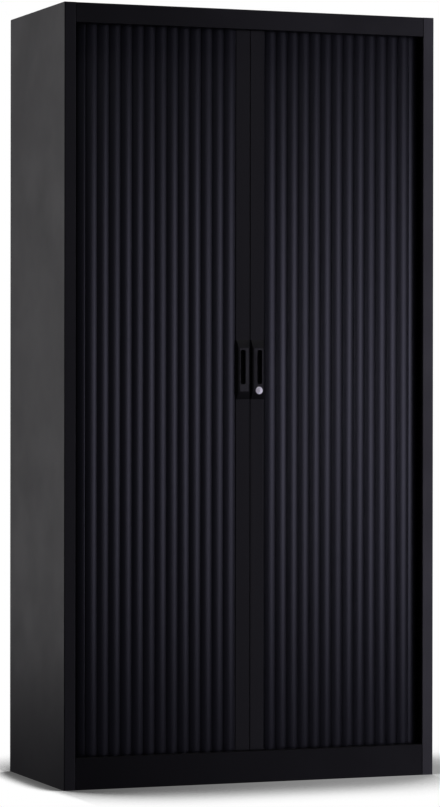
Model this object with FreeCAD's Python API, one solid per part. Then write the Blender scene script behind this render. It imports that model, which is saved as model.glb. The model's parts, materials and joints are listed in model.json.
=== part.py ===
import FreeCAD, Part
import math
import os

# Tall steel cupboard with two side-opening roll fronts, in millimetres.
# Origin on the floor under the middle of the cabinet, +Z up, front towards -Y.
V = FreeCAD.Vector
UP = V(0, 0, 1)
ALONG_X = V(1, 0, 0)
ALONG_Y = V(0, 1, 0)
ORIGIN = V(0, 0, 0)

# Driving dimensions
cabinet_width = 1000.0
cabinet_depth = 450.0
cabinet_height = 1950.0
sheet = 1.0                    # steel sheet of the carcass
fold_radius = 1.5              # middle line of every fold
post_width = 30.0
post_return = 14.0             # how far the post, rail and plinth fold back
rail_height = 50.0
plinth_height = 80.0
fit = 0.3                      # between pieces that are fixed together
running_gap = 0.8              # between pieces that slide past each other
overrun = 5.0                  # how far a cut runs past what it cuts
shelf_count = 4

half_width = cabinet_width / 2
front_y = -cabinet_depth / 2
rear_y = cabinet_depth / 2

# Back fastening: screw heads make the rearmost plane
screw_head_height = 1.5
back_outer_y = rear_y - screw_head_height
back_y = back_outer_y - sheet / 2
flange_y = back_outer_y - 1.5 * sheet
flange_inner_y = back_outer_y - 2 * sheet
skin_inner_x = half_width - sheet
top_z = cabinet_height - sheet
swage_depth = 5.0              # stiffening swages pressed into the back
fold_back_y = front_y + post_return - sheet / 2

# Curtain path: along the front, round the corner, along the side
curtain_depth = 22.5           # middle of the curtain behind the front plane
pocket_inset = 20.0            # middle of the curtain inside the side face
corner_radius = 42.6
curtain_y = front_y + curtain_depth
pocket_x = half_width - pocket_inset
turn_x = pocket_x - corner_radius
turn_y = curtain_y + corner_radius

# Tracks: channels that open towards the curtain
track_half_slot = 5.5
track_wall = 1.2
track_half = track_half_slot + track_wall
track_rear_gap = 15.0
track_end_y = flange_inner_y - track_rear_gap
bottom_track_depth = 14.5
top_track_depth = 44.0
base_z = plinth_height - sheet / 2 - bottom_track_depth
bottom_mouth_z = base_z + bottom_track_depth
bottom_web_z = base_z + track_wall
top_mouth_z = top_z - top_track_depth
top_web_z = top_z - track_wall
inside_bottom_z = bottom_mouth_z + running_gap
inside_top_z = top_mouth_z - running_gap

# Leading stiles
stile_width = 37.5
door_gap = 2.0
stile_set_back = 20.0
stile_depth = 12.0
stile_wall = 1.6
stile_nose_radius = 1.2
stile_rebate = 1.7
hinge_gap = 1.75               # stile edge to the first pivot of the curtain
stile_in_x = door_gap / 2
stile_out_x = stile_in_x + stile_width
stile_front_y = front_y + stile_set_back
stile_back_y = stile_front_y + stile_depth
stile_middle_x = (stile_in_x + stile_out_x) / 2

# Slats: the visible ones fill the front between the stile and the corner
visible_slats = 13
first_pivot_x = stile_out_x + hinge_gap
slat_pitch = (turn_x - first_pivot_x) / visible_slats
slat_groove = 1.3
crown_half = (slat_pitch - slat_groove) / 2
crown_front = 4.6
crown_edge = 1.6
crown_lip = 1.0
slat_back = 4.2
slat_wall = 1.1
hinge_room = 3.275             # slat box to the pivot on each side
slat_box_half = slat_pitch / 2 - hinge_room
pivot_depth = 2.0              # pivots lie behind the middle of the curtain
bead_radius = 1.1
bead_neck = 0.8
socket_bore = 1.45
socket_radius = 2.2
tongue_width = 16.0
tongue_depth = 4.0
end_cap = 1.5
tongue_overlap = 10.0
top_tongue = 13.0

# Liners that part the side pockets from the inside
liner_inset = 33.5             # middle of the sheet inside the side face
liner_lead = 12.1              # liners start before the end of the corner
liner_x = half_width - liner_inset
liner_front_y = turn_y - liner_lead
liner_flange = 12.0
liner_in_x = liner_x - sheet / 2
liner_out_x = liner_x + sheet / 2

# Shelves and their clips
shelf_height = 25.0
shelf_lip = 12.0
shelf_end_gap = 2.0
shelf_rear_gap = 6.5
shelf_half = liner_in_x - shelf_end_gap
shelf_back_y = flange_inner_y - shelf_rear_gap
opening_bottom_z = plinth_height
opening_top_z = cabinet_height - rail_height
shelf_step = (opening_top_z - opening_bottom_z) / (shelf_count + 1)


def polygon(points):
    return Part.Face(Part.makePolygon(points + points[:1]))


def box(low, high):
    return Part.makeBox(high[0] - low[0], high[1] - low[1], high[2] - low[2], V(*low))


def rod(radius, start, end):
    run = end - start
    return Part.makeCylinder(radius, run.Length, start, run)


def mirrored(shape):
    return shape.mirror(ORIGIN, ALONG_X)


def both_sides(shape):
    return [shape, mirrored(shape)]


# A vertical or level extrusion of a flat outline given as (a, b) pairs
def plan_prism(points, low_z, high_z):
    return polygon([V(x, y, low_z) for x, y in points]).extrude(UP * (high_z - low_z))


def side_prism(points, low_x, high_x):
    return polygon([V(low_x, y, z) for y, z in points]).extrude(ALONG_X * (high_x - low_x))


def front_prism(points, low_y, high_y):
    return polygon([V(x, low_y, z) for x, z in points]).extrude(ALONG_Y * (high_y - low_y))


# The outline of a folded sheet: its middle line has a bend at each inner point
def folded_outline(points, thickness, radius, to_space):
    points = [V(a, b, 0) for a, b in points]
    ways = [(q - p).normalize() for p, q in zip(points, points[1:])]
    lefts = [V(-w.y, w.x, 0) for w in ways]
    edges = []
    rims = []
    for side in (thickness / 2, -thickness / 2):
        rim = []
        here = points[0] + lefts[0] * side
        for k in range(1, len(ways)):
            turn = math.atan2(ways[k - 1].cross(ways[k]).z, ways[k - 1].dot(ways[k]))
            reach = radius * math.tan(abs(turn) / 2)
            centre = points[k] - ways[k - 1] * reach + lefts[k - 1] * math.copysign(radius, turn)
            start = points[k] - ways[k - 1] * reach + lefts[k - 1] * side
            end = points[k] + ways[k] * reach + lefts[k] * side
            middle = centre + ((start - centre) + (end - centre)).normalize() * (start - centre).Length
            rim.append(("line", here, start))
            rim.append(("arc", start, middle, end))
            here = end
        rim.append(("line", here, points[-1] + lefts[-1] * side))
        rims.append(rim)
    for rim in rims:
        for kind, *ends in rim:
            ends = [to_space(p.x, p.y) for p in ends]
            edges.append(Part.Arc(*ends).toShape() if kind == "arc" else Part.makeLine(*ends))
    for k in (0, -1):
        tips = [rim[k][1 if k == 0 else -1] for rim in rims]
        edges.append(Part.makeLine(*[to_space(p.x, p.y) for p in tips]))
    return Part.Face(Part.Wire(Part.__sortEdges__(edges)))


def folded_upright(points, low_z, high_z):
    face = folded_outline(points, sheet, fold_radius, lambda x, y: V(x, y, low_z))
    return face.extrude(UP * (high_z - low_z))


def folded_level(points, low_x, high_x):
    face = folded_outline(points, sheet, fold_radius, lambda y, z: V(low_x, y, z))
    return face.extrude(ALONG_X * (high_x - low_x))


def fused(shapes):
    whole = shapes[0].multiFuse(shapes[1:]) if len(shapes) > 1 else shapes[0]
    return whole.removeSplitter()


def save(name, shapes):
    whole = shapes[0] if len(shapes) == 1 else Part.makeCompound(shapes)
    whole.exportStep("parts/" + name + ".step")


# Side panel: skin, front post with its return, rear flange, foot and head flanges
rear_flange_width = 20.0
rear_flange_x = half_width - rear_flange_width
foot_flange_width = 16.0
head_flange_width = 11.0
flange_end_gap = 25.0
flange_end_y = rear_y - flange_end_gap
post_in_x = half_width - post_width + sheet / 2
screw_inset = 10.0
screw_x = half_width - screw_inset
screw_radius = 2.0
screw_head_radius = 3.8
screw_margin_z = 60.0
screw_rows = 8
screw_length = 5.0
screw_step = (top_z - 2 * screw_margin_z) / (screw_rows - 1)
screw_heights = [screw_margin_z + screw_step * k for k in range(screw_rows)]


def screw_holes():
    radius = screw_radius + fit / 2
    low_y = flange_inner_y - overrun
    return [rod(radius, V(screw_x, low_y, z), V(screw_x, rear_y, z)) for z in screw_heights]


def side_panel():
    skin_x = half_width - sheet / 2
    outline = [
        (post_in_x, fold_back_y),
        (post_in_x, front_y + sheet / 2),
        (skin_x, front_y + sheet / 2),
        (skin_x, flange_y),
        (rear_flange_x, flange_y),
    ]
    pieces = [folded_upright(outline, 0, top_z)]
    for width, low_z in ((foot_flange_width, 0), (head_flange_width, top_z - sheet)):
        low = (half_width - width, -flange_end_y, low_z)
        pieces.append(box(low, (skin_x, flange_end_y, low_z + sheet)))
    return fused(pieces).cut(Part.makeCompound(screw_holes()))


side = side_panel()
save("right_side_panel", [side])
save("left_side_panel", [mirrored(side)])

# Top panel: a cap sheet whose front folds down as the rail between the posts
between_posts = half_width - post_width - fit
cap_corner = fold_radius + sheet / 2


def rounded_plate(half_x, low_y, high_y, low_z, high_z, radius):
    plate = box((-half_x, low_y, low_z), (half_x, high_y, high_z))
    uprights = [e for e in plate.Edges if abs(e.tangentAt(e.FirstParameter).z) > 0.9]
    return plate.makeFillet(radius, uprights)


def top_panel():
    fold_start_y = front_y + 2 * cap_corner
    plate = rounded_plate(half_width, front_y, back_outer_y, top_z, cabinet_height, cap_corner)
    low = (-between_posts, front_y - overrun, top_z - overrun)
    plate = plate.cut(box(low, (between_posts, fold_start_y, cabinet_height + overrun)))
    rail_bottom = opening_top_z + sheet / 2
    outline = [
        (fold_start_y, cabinet_height - sheet / 2),
        (front_y + sheet / 2, cabinet_height - sheet / 2),
        (front_y + sheet / 2, rail_bottom),
        (fold_back_y - sheet / 2, rail_bottom),
    ]
    return fused([plate, folded_level(outline, -between_posts, between_posts)])


save("top_panel", [top_panel()])

# Plinth: folded the same way, standing on the floor
plinth_foot = 20.0


def plinth():
    outline = [
        (fold_back_y - sheet / 2, plinth_height - sheet / 2),
        (front_y + sheet / 2, plinth_height - sheet / 2),
        (front_y + sheet / 2, sheet / 2),
        (front_y + plinth_foot, sheet / 2),
    ]
    return folded_level(outline, -between_posts, between_posts)


save("plinth", [plinth()])

# Levelling feet, their welded nuts under the base and the plugs above them
foot_inset_x = 70.0
foot_inset_y = 55.0
foot_x = half_width - foot_inset_x
foot_y = rear_y - foot_inset_y
foot_lift = 1.0                # the pad clears the floor when wound in
pad_radius = 19.0
pad_height = 8.0
pad_edge = 1.5
stem_radius = 5.0
stem_clear = 0.3
hub_radius = 8.0
hub_height = 5.0
nut_half_flats = 8.5
nut_height = 8.0
plug_radius = 8.5
plug_hole = 7.0
plug_head = 1.0
plug_reach = 1.5
plug_slack = 2.0
stem_top_z = plinth_height - sheet - plug_reach - plug_slack
foot_places = [(sx * foot_x, sy * foot_y) for sy in (-1, 1) for sx in (-1, 1)]


def foot(x, y):
    pad_top = foot_lift + pad_height
    pad = rod(pad_radius, V(x, y, foot_lift), V(x, y, pad_top))
    pad = pad.makeFillet(pad_edge, pad.Edges)
    hub = rod(hub_radius, V(x, y, foot_lift + pad_edge), V(x, y, pad_top + hub_height))
    stem = rod(stem_radius, V(x, y, foot_lift + pad_edge), V(x, y, stem_top_z))
    return fused([pad, hub, stem])


for number, (x, y) in enumerate(foot_places, 1):
    save("foot_%d" % number, [foot(x, y)])


def hexagon(x, y, half_flats):
    reach = half_flats / math.cos(math.pi / 6)
    turns = [math.pi / 3 * k for k in range(6)]
    return [(x + reach * math.cos(a), y + reach * math.sin(a)) for a in turns]


# Base panel: the floor of the side pockets and tracks, with folded-down edges
base_half = skin_inner_x - fit
base_front_y = front_y + sheet + fit
base_rear_y = back_y - swage_depth - sheet / 2 - fit
base_skirt = 20.0
notch_x = between_posts - sheet


def base_panel():
    under_z = base_z - sheet
    notch_y = front_y + post_return + fit
    plate = box((-base_half, base_front_y, under_z), (base_half, base_rear_y, base_z))
    corner_low = (notch_x, base_front_y - overrun, under_z - overrun)
    corner = box(corner_low, (half_width, notch_y, base_z + overrun))
    plate = plate.cut(Part.makeCompound(both_sides(corner)))
    skirt = box((base_half - sheet, notch_y, base_z - base_skirt), (base_half, base_rear_y, base_z))
    front_low = (-notch_x, base_front_y, base_z - base_skirt)
    front = box(front_low, (notch_x, base_front_y + sheet, base_z))
    rear_low = (-base_half, base_rear_y - sheet, base_z - base_skirt)
    rear = box(rear_low, (base_half, base_rear_y, base_z))
    nuts = [
        plan_prism(hexagon(x, y, nut_half_flats), under_z - nut_height, under_z + sheet / 2)
        for x, y in foot_places
    ]
    bores = [
        rod(stem_radius + stem_clear, V(x, y, under_z - nut_height - overrun), V(x, y, base_z + overrun))
        for x, y in foot_places
    ]
    return fused([plate, front, rear] + both_sides(skirt) + nuts).cut(Part.makeCompound(bores))


save("base_panel", [base_panel()])

# Bottom shelf: a raised tray between the liners, cut round for the track corners
tray_corner = corner_radius - track_half - fit


def tray_solid(inset, low_z, high_z):
    edge_x = liner_in_x - fit - inset
    near_y = curtain_y + track_half + fit + inset
    radius = tray_corner - inset
    far_y = base_rear_y - inset
    drop = math.sqrt(radius ** 2 - (edge_x - turn_x) ** 2)
    lean = math.atan2(edge_x - turn_x, drop) / 2
    edges = []
    corners = []
    for side in (-1, 1):
        start = V(side * turn_x, near_y, low_z)
        middle = V(side * (turn_x + radius * math.sin(lean)), turn_y - radius * math.cos(lean), low_z)
        end = V(side * edge_x, turn_y - drop, low_z)
        edges.append(Part.Arc(V(side * turn_x, turn_y - radius, low_z), middle, end).toShape())
        edges.append(Part.makeLine(end, V(side * edge_x, far_y, low_z)))
        corners.append(start)
    edges.append(Part.makeLine(*corners))
    edges.append(Part.makeLine(V(-edge_x, far_y, low_z), V(edge_x, far_y, low_z)))
    face = Part.Face(Part.Wire(Part.__sortEdges__(edges)))
    return face.extrude(UP * (high_z - low_z))


def bottom_shelf():
    tray = tray_solid(0, base_z, plinth_height)
    tray = tray.cut(tray_solid(sheet, base_z, plinth_height - sheet))
    holes = [rod(plug_hole, V(x, y, base_z), V(x, y, plinth_height + overrun)) for x, y in foot_places]
    return tray.cut(Part.makeCompound(holes))


save("bottom_shelf", [bottom_shelf()])


def access_plug(x, y):
    head = rod(plug_radius, V(x, y, plinth_height), V(x, y, plinth_height + plug_head))
    head = head.makeFillet(plug_head / 2, [e for e in head.Edges if e.BoundBox.ZMin > plinth_height])
    low = V(x, y, plinth_height - sheet - plug_reach)
    return fused([head, rod(plug_hole - fit, low, V(x, y, plinth_height + plug_head / 2))])


save("access_plugs", [access_plug(x, y) for x, y in foot_places])

# Back panel: one sheet with two pressed swages, screwed to the side panels
back_half = half_width - fit
swage_x = 215.0
swage_half = 18.0
swage_slope = 6.0


def back_panel():
    right = [
        (swage_x - swage_half - swage_slope, back_y),
        (swage_x - swage_half, back_y - swage_depth),
        (swage_x + swage_half, back_y - swage_depth),
        (swage_x + swage_half + swage_slope, back_y),
        (back_half, back_y),
    ]
    left = [(-x, y) for x, y in reversed(right)]
    panel = folded_upright(left + right, 0, top_z)
    return panel.cut(Part.makeCompound(both_sides(Part.makeCompound(screw_holes()))))


def back_screw(z):
    head_face = V(screw_x, rear_y, z)
    head = rod(screw_head_radius, V(screw_x, back_outer_y, z), head_face)
    head = head.makeFillet(screw_head_height / 2, [e for e in head.Edges if e.BoundBox.YMin > back_outer_y])
    shank_y = back_outer_y - screw_length
    return fused([head, rod(screw_radius, V(screw_x, shank_y, z), V(screw_x, back_outer_y + fit, z))])


save("back_panel", [back_panel()])
screws = [back_screw(z) for z in screw_heights]
save("back_screws", screws + [mirrored(s) for s in screws])

# Liners: upright sheets with rows of slots that take the shelf clips
slot_height = 12.0
slot_width = 4.0
slots_per_shelf = 7
slot_step = shelf_step / slots_per_shelf
slot_inset_y = 45.0
slot_rows_y = [liner_front_y + slot_inset_y, shelf_back_y - slot_inset_y]
clip_drop = shelf_height + sheet
slot_count = int((opening_top_z - opening_bottom_z) / slot_step) - 1
slot_heights = [opening_bottom_z + slot_step * (k + 1) - clip_drop for k in range(slot_count)]


def liner():
    rear = flange_inner_y - fit - sheet / 2
    outline = [(liner_x, liner_front_y), (liner_x, rear), (liner_x + liner_flange, rear)]
    wall = folded_upright(outline, base_z, top_z)
    slots = []
    for y in slot_rows_y:
        for z in slot_heights:
            low = (liner_in_x - overrun, y - slot_width / 2, z)
            slots.append(box(low, (liner_out_x + overrun, y + slot_width / 2, z + slot_height)))
    return wall.cut(Part.makeCompound(slots))


right_liner = liner()
save("right_liner", [right_liner])
save("left_liner", [mirrored(right_liner)])


# Shelf: a folded tray, open below, with a lip all round its foot
def shelf(top):
    front = liner_front_y
    foot_z = top - shelf_height
    body = box((-shelf_half, front, foot_z), (shelf_half, shelf_back_y, top))
    front_edges = [e for e in body.Edges if e.BoundBox.YMax < front + fit and e.BoundBox.ZMin > top - fit]
    body = body.makeFillet(cap_corner, front_edges)
    low = (sheet - shelf_half, front + sheet, foot_z + sheet)
    hollow = box(low, (shelf_half - sheet, shelf_back_y - sheet, top - sheet))
    low = (shelf_lip - shelf_half, front + shelf_lip, foot_z - overrun)
    mouth = box(low, (shelf_half - shelf_lip, shelf_back_y - shelf_lip, top - shelf_height / 2))
    return body.cut(hollow).cut(mouth)


# Clip: a plate on the liner, a ledge under the shelf and a hook through a slot
clip_sheet = 1.5
clip_half = 8.0
clip_plate = 16.0
clip_ledge = 9.0
hook_drop = 6.0
hook_height = 8.0
hook_half = slot_width / 2 - fit


def clip(shelf_top, y):
    ledge_top = shelf_top - shelf_height
    ledge_low = ledge_top - clip_sheet
    plate_x = liner_in_x - clip_sheet
    plate = box((plate_x, y - clip_half, ledge_low), (liner_in_x, y + clip_half, ledge_top + clip_plate))
    ledge = box((liner_in_x - clip_ledge, y - clip_half, ledge_low), (liner_in_x, y + clip_half, ledge_top))
    neck_low = ledge_top + fit
    neck_top = neck_low + hook_height
    hook_x = liner_out_x + fit
    neck = box((plate_x, y - hook_half, neck_low), (hook_x + clip_sheet, y + hook_half, neck_top))
    hook_low = (hook_x, y - hook_half, neck_low - hook_drop)
    hook = box(hook_low, (hook_x + clip_sheet, y + hook_half, neck_top))
    return fused([plate, ledge, neck, hook])


clips = []
for number in range(1, shelf_count + 1):
    shelf_top = opening_bottom_z + shelf_step * number
    save("shelf_%d" % number, [shelf(shelf_top)])
    for y in slot_rows_y:
        clips += both_sides(clip(shelf_top, y))
save("shelf_clips", clips)


# Tracks: a straight front run, two quarter-circle corners and two side runs
def channel(turned, seat_z, web_z, mouth_z):
    pairs = [
        (-track_half, seat_z),
        (track_half, seat_z),
        (track_half, mouth_z),
        (track_half_slot, mouth_z),
        (track_half_slot, web_z),
        (-track_half_slot, web_z),
        (-track_half_slot, mouth_z),
        (-track_half, mouth_z),
    ]
    return polygon([turned(offset, z) for offset, z in pairs])


def track(seat_z, web_z, mouth_z):
    front = channel(lambda w, z: V(-turn_x, curtain_y + w, z), seat_z, web_z, mouth_z)
    pieces = [front.extrude(ALONG_X * (2 * turn_x))]
    bend = channel(lambda w, z: V(turn_x, curtain_y + w, z), seat_z, web_z, mouth_z)
    pieces += both_sides(bend.revolve(V(turn_x, turn_y, 0), UP, 90))
    run = channel(lambda w, z: V(pocket_x + w, turn_y, z), seat_z, web_z, mouth_z)
    pieces += both_sides(run.extrude(ALONG_Y * (track_end_y - turn_y)))
    return pieces


save("top_track", track(top_z, top_web_z, top_mouth_z))
save("bottom_track", track(base_z, bottom_web_z, bottom_mouth_z))

# Stops that close the far end of each side run
stop_length = 6.0
stop_half = track_half_slot - fit


def track_stop(low_z, high_z):
    low = (pocket_x - stop_half, track_end_y - stop_length, low_z)
    return box(low, (pocket_x + stop_half, track_end_y, high_z))


stops = both_sides(track_stop(bottom_web_z, bottom_mouth_z))
stops += both_sides(track_stop(top_mouth_z, top_web_z))
save("track_stops", stops)

# Slat: a hollow ribbed section with a bead on one side and a socket on the other
socket_mouth_angles = (-22.0, 52.0)
tongue_low_z = bottom_web_z + fit
tongue_top_z = top_mouth_z + top_tongue


# A face under an arch: the arch runs from left to right over the peak, and the
# other corners close it below
def arched_face(half, edge, peak, below, z):
    left = V(-half, edge, z)
    right = V(half, edge, z)
    corners = [right] + [V(x, y, z) for x, y in below] + [V(-x, y, z) for x, y in reversed(below)] + [left]
    edges = [Part.Arc(left, V(0, peak, z), right).toShape()]
    edges += [Part.makeLine(p, q) for p, q in zip(corners, corners[1:])]
    return Part.Face(Part.Wire(Part.__sortEdges__(edges)))


def crown_face(z):
    lip = crown_lip - crown_edge
    below = [(crown_half, lip), (slat_box_half, lip), (slat_box_half, slat_back)]
    return arched_face(crown_half, -crown_edge, -crown_front, below, z)


def hollow_face(z):
    side = slat_box_half - slat_wall
    below = [(side, slat_back - slat_wall)]
    return arched_face(side, slat_wall - crown_edge, slat_wall - crown_front, below, z)


def socket(low_z, high_z):
    x = -slat_pitch / 2
    ring = rod(socket_radius, V(x, pivot_depth, low_z), V(x, pivot_depth, high_z))
    bore = rod(socket_bore, V(x, pivot_depth, low_z - overrun), V(x, pivot_depth, high_z + overrun))
    reach = 2 * socket_radius
    arms = [math.radians(a) for a in socket_mouth_angles]
    tips = [(x - reach * math.cos(a), pivot_depth + reach * math.sin(a)) for a in arms]
    mouth = plan_prism([(x, pivot_depth)] + tips, low_z - overrun, high_z + overrun)
    low = (x + socket_bore, pivot_depth - slat_wall / 2, low_z)
    bridge = box(low, (-slat_box_half + slat_wall / 2, pivot_depth + slat_wall / 2, high_z))
    return [ring.cut(bore).cut(mouth), bridge]


def bead(from_x, pivot_x, y, low_z, high_z):
    neck = box((from_x, y - bead_neck / 2, low_z), (pivot_x, y + bead_neck / 2, high_z))
    return [neck, rod(bead_radius, V(pivot_x, y, low_z), V(pivot_x, y, high_z))]


def tongues(x, y, width, low_z, high_z):
    low = (x - width / 2, y - tongue_depth / 2)
    high = (x + width / 2, y + tongue_depth / 2)
    bottom = box(low + (tongue_low_z,), high + (low_z + tongue_overlap,))
    top = box(low + (high_z - tongue_overlap,), high + (tongue_top_z,))
    return [bottom, top]


def slat():
    low_z = inside_bottom_z
    high_z = inside_top_z
    shell = crown_face(low_z).extrude(UP * (high_z - low_z))
    core = hollow_face(low_z + end_cap).extrude(UP * (high_z - low_z - 2 * end_cap))
    bead_start = slat_box_half - slat_wall / 2
    pieces = [shell.cut(core)] + socket(low_z, high_z)
    pieces += bead(bead_start, slat_pitch / 2, pivot_depth, low_z, high_z)
    pieces += tongues(0, 0, tongue_width, low_z, high_z)
    return fused(pieces)


# The tail slat already stands in the corner, with both pivots on the curve
pivot_radius = corner_radius - pivot_depth
tail_turn = math.asin(slat_pitch / 2 / pivot_radius)
tail_radius = pivot_radius * math.cos(tail_turn) + pivot_depth

one_slat = slat()
for number in range(1, visible_slats + 2):
    placed = one_slat.copy()
    if number <= visible_slats:
        placed.translate(V(first_pivot_x + slat_pitch * (number - 0.5), curtain_y, 0))
    else:
        placed.rotate(ORIGIN, UP, math.degrees(tail_turn))
        tail_x = turn_x + tail_radius * math.sin(tail_turn)
        placed.translate(V(tail_x, turn_y - tail_radius * math.cos(tail_turn), 0))
    save("right_slat_%02d" % number, [placed])
    save("left_slat_%02d" % number, [mirrored(placed)])

# Handle: a flat moulding with sloped edges round a deep finger slot
handle_middle_z = 1042.5
handle_height = 149.0
handle_in_margin = 1.5
handle_out_margin = 2.0
handle_in_x = stile_in_x + handle_in_margin
handle_out_x = stile_out_x - handle_out_margin
handle_plate = 2.0
handle_rise = 11.0
inner_slope = 2.0
outer_slope = 2.0
taper_length = 20.0
slot_in_x = 16.0
cup_width = 13.0
cup_low_margin = 38.0          # handle end to the finger slot, lock end
cup_top_margin = 25.0
cup_corner = 5.0
cup_wall = 1.2
cup_back_gap = 2.2
cup_floor_y = stile_back_y - stile_wall - cup_back_gap
cup_out_x = slot_in_x + cup_width
handle_low_z = handle_middle_z - handle_height / 2
handle_top_z = handle_middle_z + handle_height / 2
cup_low_z = handle_low_z + cup_low_margin
cup_top_z = handle_top_z - cup_top_margin

# Lock: housing in the right handle, turning barrel and hook behind it
lock_x = 20.0
lock_rise = 22.0               # above the low end of the handle
lock_z = handle_low_z + lock_rise
lock_boss_radius = 10.5
lock_boss_rise = 12.5
lock_face_radius = 9.5
lock_face = 1.5
lock_face_edge = 0.5
lock_body_radius = 8.0
barrel_radius = 5.5
barrel_clear = 0.05
barrel_set_in = 0.4
key_slot_width = 1.4
key_slot_height = 7.0
key_slot_depth = 4.0
hook_thickness = 3.0
hook_boss_radius = 6.0
hook_arm_half = 4.5
hook_reach = 28.5
beak_inner = 24.2
beak_height = 9.0
hook_back_gap = 2.3
hook_back_y = stile_back_y - stile_wall - hook_back_gap
hook_front_y = hook_back_y - hook_thickness
lock_face_y = stile_front_y - lock_boss_rise


def cup_block(grow, low_y, high_y):
    low = (slot_in_x - grow, low_y, cup_low_z - grow)
    block = box(low, (cup_out_x + grow, high_y, cup_top_z + grow))
    level = [e for e in block.Edges if abs(e.tangentAt(e.FirstParameter).y) > 0.9]
    return block.makeFillet(cup_corner + grow, level)


def handle(with_lock):
    front = stile_front_y
    outline = [
        (handle_in_x, front),
        (handle_in_x, front - handle_plate),
        (handle_in_x + inner_slope, front - handle_rise),
        (handle_out_x - outer_slope, front - handle_rise),
        (handle_out_x, front - handle_plate),
        (handle_out_x, front),
    ]
    moulding = plan_prism(outline, handle_low_z, handle_top_z)
    crest_y = front - handle_rise - overrun
    for tip, inward in ((handle_low_z, 1), (handle_top_z, -1)):
        slope = [
            (front - handle_plate, tip - inward * overrun),
            (front - handle_plate, tip),
            (front - handle_rise, tip + inward * taper_length),
            (crest_y, tip + inward * taper_length),
            (crest_y, tip - inward * overrun),
        ]
        moulding = moulding.cut(side_prism(slope, handle_in_x - overrun, handle_out_x + overrun))
    cup = cup_block(cup_wall, front - handle_plate / 2, cup_floor_y + cup_wall)
    pieces = [moulding, cup]
    if with_lock:
        pieces.append(rod(lock_boss_radius, V(lock_x, front, lock_z), V(lock_x, lock_face_y, lock_z)))
    whole = fused(pieces).cut(cup_block(0, crest_y, cup_floor_y))
    if with_lock:
        radius = lock_body_radius + fit / 2
        low_y = lock_face_y - overrun
        whole = whole.cut(rod(radius, V(lock_x, low_y, lock_z), V(lock_x, front + overrun, lock_z)))
    return whole


save("right_handle", [handle(True)])
save("left_handle", [mirrored(handle(False))])

# Stile: a hollow upright section, with windows for the cup, lock and hook
swing_radius = math.hypot(hook_reach, beak_height)
slot_reach = lock_x - stile_in_x - stile_wall
hook_slot_low = lock_z - math.sqrt(swing_radius ** 2 - slot_reach ** 2) - running_gap
hook_slot_top = lock_z + hook_arm_half + fit
striker_sheet = 1.2


def stile_shell(low_z, high_z):
    side_x = stile_out_x - stile_rebate
    lip_y = curtain_y - crown_lip
    outline = [
        (stile_in_x, stile_front_y),
        (stile_out_x, stile_front_y),
        (stile_out_x, lip_y),
        (side_x, lip_y),
        (side_x, stile_back_y),
        (stile_in_x, stile_back_y),
    ]
    shell = plan_prism(outline, low_z, high_z)
    nose = [
        e for e in shell.Edges
        if abs(e.tangentAt(e.FirstParameter).z) > 0.9 and e.BoundBox.YMax < stile_front_y + fit
    ]
    low = (stile_in_x + stile_wall, stile_front_y + stile_wall, low_z + end_cap)
    high = (side_x - stile_wall, stile_back_y - stile_wall, high_z - end_cap)
    return shell.makeFillet(stile_nose_radius, nose).cut(box(low, high))


def hook_window(low_x, high_x):
    low = (low_x, hook_front_y - running_gap / 2, hook_slot_low)
    return box(low, (high_x, hook_back_y + running_gap / 2, hook_slot_top))


def stile(with_lock):
    low_z = inside_bottom_z
    high_z = inside_top_z
    bead_start = stile_out_x - stile_rebate - stile_wall / 2
    pieces = [stile_shell(low_z, high_z)]
    pieces += bead(bead_start, first_pivot_x, curtain_y + pivot_depth, low_z, high_z)
    pieces += tongues(stile_middle_x, curtain_y, tongue_width, low_z, high_z)
    through = stile_front_y + stile_wall + overrun / 2
    cuts = [cup_block(cup_wall + fit, stile_front_y - overrun, through)]
    cuts.append(hook_window(stile_in_x - overrun, stile_in_x + stile_wall + fit))
    if with_lock:
        start = V(lock_x, stile_front_y - overrun, lock_z)
        cuts.append(rod(lock_body_radius + fit, start, V(lock_x, through, lock_z)))
    return fused(pieces).cut(Part.makeCompound(cuts))


save("right_stile", [stile(True)])
save("left_stile", [mirrored(stile(False))])


def lock_housing():
    start = V(lock_x, lock_face_y - lock_face, lock_z)
    face = rod(lock_face_radius, start, V(lock_x, lock_face_y, lock_z))
    rim = [e for e in face.Edges if e.BoundBox.YMax < lock_face_y - lock_face / 2]
    face = face.makeFillet(lock_face_edge, rim)
    end = V(lock_x, hook_front_y - running_gap, lock_z)
    body = rod(lock_body_radius, V(lock_x, lock_face_y - lock_face / 2, lock_z), end)
    bore = rod(barrel_radius + barrel_clear, start - ALONG_Y * overrun, end + ALONG_Y * overrun)
    return fused([face, body]).cut(bore)


def lock_barrel():
    start = V(lock_x, lock_face_y - lock_face + barrel_set_in, lock_z)
    body = rod(barrel_radius, start, V(lock_x, hook_front_y, lock_z))
    low = (lock_x - key_slot_width / 2, start.y - overrun, lock_z - key_slot_height / 2)
    high = (lock_x + key_slot_width / 2, start.y + key_slot_depth, lock_z + key_slot_height / 2)
    return body.cut(box(low, high))


# The hook hangs down when the doors are free and points across when locked
def lock_hook():
    boss = rod(hook_boss_radius, V(lock_x, hook_front_y, lock_z), V(lock_x, hook_back_y, lock_z))
    outline = [
        (lock_x + hook_arm_half, lock_z),
        (lock_x + hook_arm_half, lock_z - hook_reach),
        (lock_x - beak_height, lock_z - hook_reach),
        (lock_x - beak_height, lock_z - beak_inner),
        (lock_x - hook_arm_half, lock_z - beak_inner),
        (lock_x - hook_arm_half, lock_z),
    ]
    return fused([boss, front_prism(outline, hook_front_y, hook_back_y)])


save("lock_housing", [lock_housing()])
save("lock_barrel", [lock_barrel()])
save("lock_hook", [lock_hook()])

# Striker plate inside the left stile, with a slot that the hook passes
striker_margin = 12.0
striker_front_y = stile_front_y + stile_wall + fit
striker_back_y = stile_back_y - stile_wall - fit


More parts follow.
